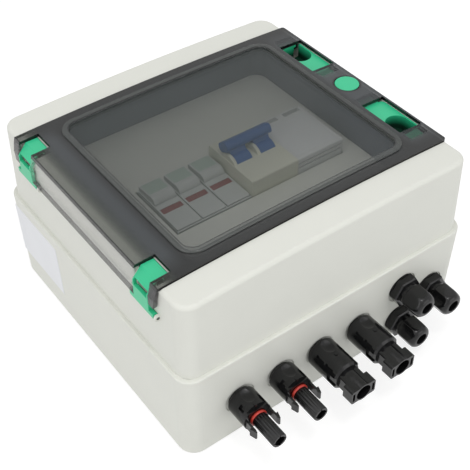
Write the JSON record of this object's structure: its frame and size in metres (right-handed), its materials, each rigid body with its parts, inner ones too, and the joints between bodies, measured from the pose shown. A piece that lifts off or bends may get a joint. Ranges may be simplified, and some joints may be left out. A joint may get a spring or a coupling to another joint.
{
  "type": "photovoltaic junction box",
  "caption": "Wall box for solar strings: arched lid, smoked hinged door with green latches over surge and breaker modules, solar connectors and cable glands on one side.",
  "frame": {"origin": "centre of the flat back face, on the wall plane", "axes": "+Z out of the front, -Y towards the cable side, +X towards the latch side, hinges at low X"},
  "size_m": [0.2151, 0.2476, 0.1294],
  "materials": {
    "housing": "light grey moulded plastic, fine satin grain",
    "smoked_cover": "smoked clear plastic, glossy",
    "green_fittings": "bright green moulded plastic, satin",
    "seal_rubber": "soft black seal",
    "zinc_steel": "zinc plated steel",
    "brass_bar": "plain brass",
    "surge_plastic": "white grey moulded plastic",
    "flag_red": "red flag",
    "breaker_plastic": "cream moulded plastic",
    "module_plastic": "white moulded plastic",
    "toggle_blue": "blue moulded plastic",
    "connector_black": "black moulded plastic, satin",
    "ring_red": "red sealing ring",
    "tinned_contact": "tinned copper",
    "label_paper": "bare white label"
  },
  "bodies": {
    "enclosure": {"base_housing": "housing", "lid_cover": "housing", "lid_gasket": "seal_rubber", "door_gasket": "seal_rubber", "lid_screws": "zinc_steel", "hinge_pins": "zinc_steel", "din_rail": "zinc_steel", "rail_screws": "zinc_steel", "spd_base": "surge_plastic", "spd_flags": "flag_red", "spd_clamp_screws": "zinc_steel", "breaker_housing": "breaker_plastic", "companion_module": "module_plastic", "breaker_clamp_screws": "zinc_steel", "earth_bar": "brass_bar", "earth_screws": "zinc_steel", "seal_rings": "ring_red", "male_contacts": "tinned_contact", "female_contacts": "tinned_contact", "connector_washers": "seal_rubber", "connector_nuts": "connector_black", "gland_seals": "seal_rubber", "gland_washers": "seal_rubber", "gland_nuts": "connector_black", "side_label": "label_paper", "spd_cartridge_1": "surge_plastic", "spd_cartridge_2": "surge_plastic", "spd_cartridge_3": "surge_plastic", "male_connector_1": "connector_black", "male_connector_2": "connector_black", "female_connector_1": "connector_black", "female_connector_2": "connector_black", "gland_body_1": "connector_black", "gland_body_2": "connector_black", "gland_body_3": "connector_black"},
    "door": {"door_cover": "smoked_cover", "hinge_arm_near": "green_fittings", "hinge_arm_far": "green_fittings", "blanking_plug": "green_fittings"},
    "latch_near": {"latch_slider_near": "green_fittings"},
    "latch_far": {"latch_slider_far": "green_fittings"},
    "toggle": {"breaker_toggle": "toggle_blue"},
    "dome_1": {"dome_nut_1": "connector_black"},
    "dome_2": {"dome_nut_2": "connector_black"},
    "dome_3": {"dome_nut_3": "connector_black"}
  },
  "joints": [
    {"name": "door_hinge", "type": "hinge", "parent": "enclosure", "child": "door", "pos_m": [-0.1052, 0, 0.1028], "axis": [0, -1, 0], "range_deg": [0, 120]},
    {"name": "latch_near_slide", "type": "slide", "parent": "door", "child": "latch_near", "axis": [0, 1, 0], "range_m": [0, 0.005]},
    {"name": "latch_far_slide", "type": "slide", "parent": "door", "child": "latch_far", "axis": [0, -1, 0], "range_m": [0, 0.005]},
    {"name": "toggle_throw", "type": "hinge", "parent": "enclosure", "child": "toggle", "pos_m": [0.0037, -0.0045, 0.1088], "axis": [1, 0, 0], "range_deg": [0, 62]},
    {"name": "dome_1_turn", "type": "hinge", "parent": "enclosure", "child": "dome_1", "pos_m": [0.0565, -0.1196, 0.0458], "axis": [0, -1, 0], "range_deg": [-360, 360]},
    {"name": "dome_2_turn", "type": "hinge", "parent": "enclosure", "child": "dome_2", "pos_m": [0.0568, -0.1196, 0.0168], "axis": [0, -1, 0], "range_deg": [-360, 360]},
    {"name": "dome_3_turn", "type": "hinge", "parent": "enclosure", "child": "dome_3", "pos_m": [0.08219, -0.1196, 0.031], "axis": [0, -1, 0], "range_deg": [-360, 360]}
  ]
}
